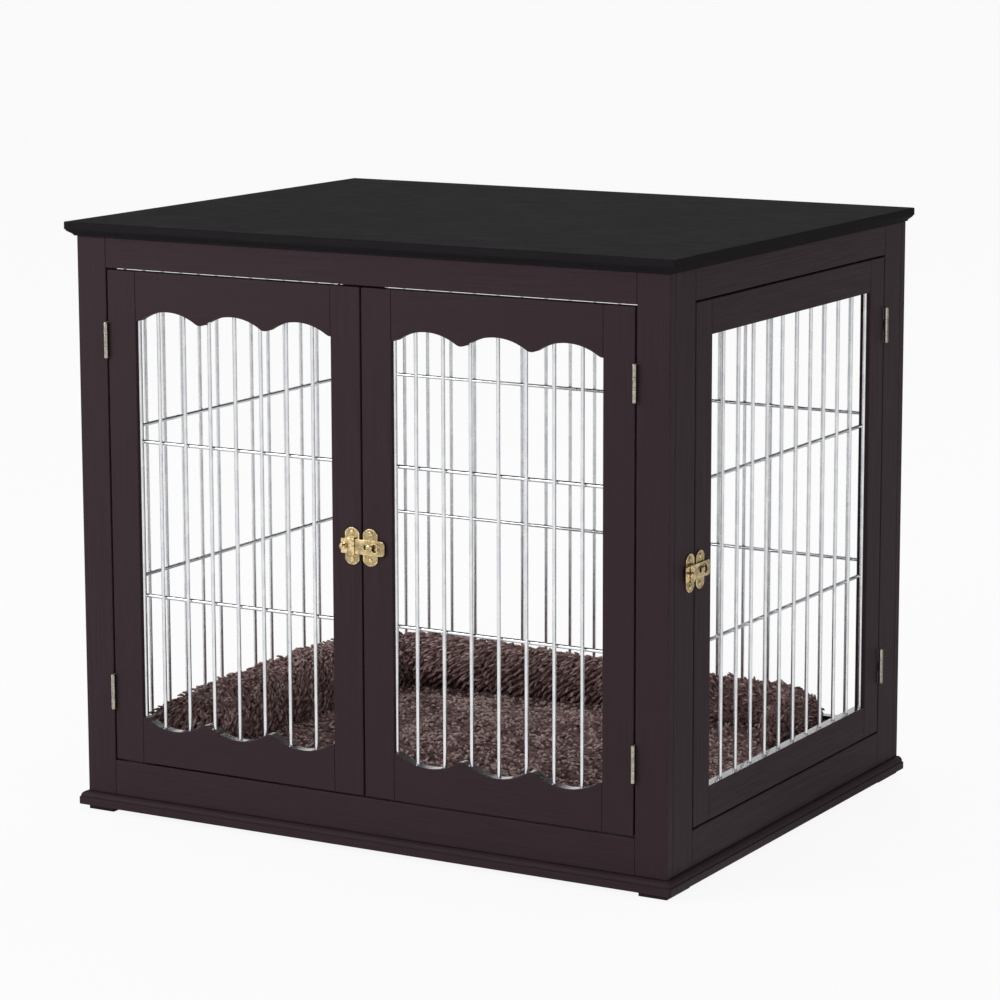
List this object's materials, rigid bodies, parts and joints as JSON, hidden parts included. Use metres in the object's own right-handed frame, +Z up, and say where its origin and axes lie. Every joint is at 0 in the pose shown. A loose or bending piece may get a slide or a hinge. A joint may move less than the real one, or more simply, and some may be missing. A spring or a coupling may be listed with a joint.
{
  "type": "dog crate end table",
  "caption": "End table that is a dog crate: framed wire panels under a moulded top, paired scalloped front doors, a side door, sliding latches and a bolster bed.",
  "frame": {"origin": "on the floor under the middle of the table top", "axes": "+Z up, -Y is the front with the pair of doors, +X is the side with the single door"},
  "size_m": [0.72, 0.57, 0.635],
  "materials": {
    "espresso_paint": "satin dark espresso paint",
    "wire_zinc": "bright zinc plated wire",
    "hinge_nickel": "warm satin nickel",
    "latch_brass": "pale antique brass, polished on the edges",
    "bed_plush": "brown curly plush with lighter tips"
  },
  "bodies": {
    "root": {"top_board": "espresso_paint", "base_board": "espresso_paint", "foot_front_left": "espresso_paint", "foot_front_right": "espresso_paint", "foot_rear_left": "espresso_paint", "foot_rear_right": "espresso_paint", "front_frame_left_stile": "espresso_paint", "front_frame_right_stile": "espresso_paint", "front_frame_top_rail": "espresso_paint", "front_frame_bottom_rail": "espresso_paint", "right_frame_front_stile": "espresso_paint", "right_frame_rear_stile": "espresso_paint", "right_frame_top_rail": "espresso_paint", "right_frame_bottom_rail": "espresso_paint", "left_frame_rear_stile": "espresso_paint", "left_frame_front_stile": "espresso_paint", "left_frame_top_rail": "espresso_paint", "left_frame_bottom_rail": "espresso_paint", "back_frame_right_stile": "espresso_paint", "back_frame_left_stile": "espresso_paint", "back_frame_top_rail": "espresso_paint", "back_frame_bottom_rail": "espresso_paint", "left_grille": "wire_zinc", "back_grille": "wire_zinc", "left_door_upper_hinge_frame_leaf": "hinge_nickel", "left_door_lower_hinge_frame_leaf": "hinge_nickel", "right_door_upper_hinge_frame_leaf": "hinge_nickel", "right_door_lower_hinge_frame_leaf": "hinge_nickel", "side_door_upper_hinge_frame_leaf": "hinge_nickel", "side_door_lower_hinge_frame_leaf": "hinge_nickel", "side_latch_guide": "latch_brass", "bed_pad": "bed_plush", "bed_bolster": "bed_plush"},
    "left_door": {"left_door_hinge_stile": "espresso_paint", "left_door_meeting_stile": "espresso_paint", "left_door_top_rail": "espresso_paint", "left_door_bottom_rail": "espresso_paint", "left_door_grille": "wire_zinc", "left_door_upper_hinge_door_leaf": "hinge_nickel", "left_door_lower_hinge_door_leaf": "hinge_nickel", "front_latch_guide": "latch_brass"},
    "right_door": {"right_door_meeting_stile": "espresso_paint", "right_door_hinge_stile": "espresso_paint", "right_door_top_rail": "espresso_paint", "right_door_bottom_rail": "espresso_paint", "right_door_grille": "wire_zinc", "right_door_upper_hinge_door_leaf": "hinge_nickel", "right_door_lower_hinge_door_leaf": "hinge_nickel", "front_latch_keeper": "latch_brass"},
    "side_door": {"side_door_latch_stile": "espresso_paint", "side_door_hinge_stile": "espresso_paint", "side_door_top_rail": "espresso_paint", "side_door_bottom_rail": "espresso_paint", "side_door_grille": "wire_zinc", "side_door_upper_hinge_door_leaf": "hinge_nickel", "side_door_lower_hinge_door_leaf": "hinge_nickel", "side_latch_keeper": "latch_brass"},
    "front_latch_bar": {"front_latch_bar": "latch_brass"},
    "side_latch_bar": {"side_latch_bar": "latch_brass"}
  },
  "joints": [
    {"name": "left_door_hinge", "type": "hinge", "parent": "root", "child": "left_door", "pos_m": [-0.313, -0.2778, 0.32], "axis": [0, 0, -1], "range_deg": [0, 170]},
    {"name": "right_door_hinge", "type": "hinge", "parent": "root", "child": "right_door", "pos_m": [0.313, -0.2778, 0.32], "axis": [0, 0, 1], "range_deg": [0, 170]},
    {"name": "side_door_hinge", "type": "hinge", "parent": "root", "child": "side_door", "pos_m": [0.3528, 0.2299, 0.32], "axis": [0, 0, 1], "range_deg": [0, 170]},
    {"name": "front_latch_slide", "type": "slide", "parent": "left_door", "child": "front_latch_bar", "axis": [-1, 0, 0], "range_m": [0, 0.007]},
    {"name": "side_latch_slide", "type": "slide", "parent": "root", "child": "side_latch_bar", "axis": [0, -1, 0], "range_m": [0, 0.007]}
  ]
}
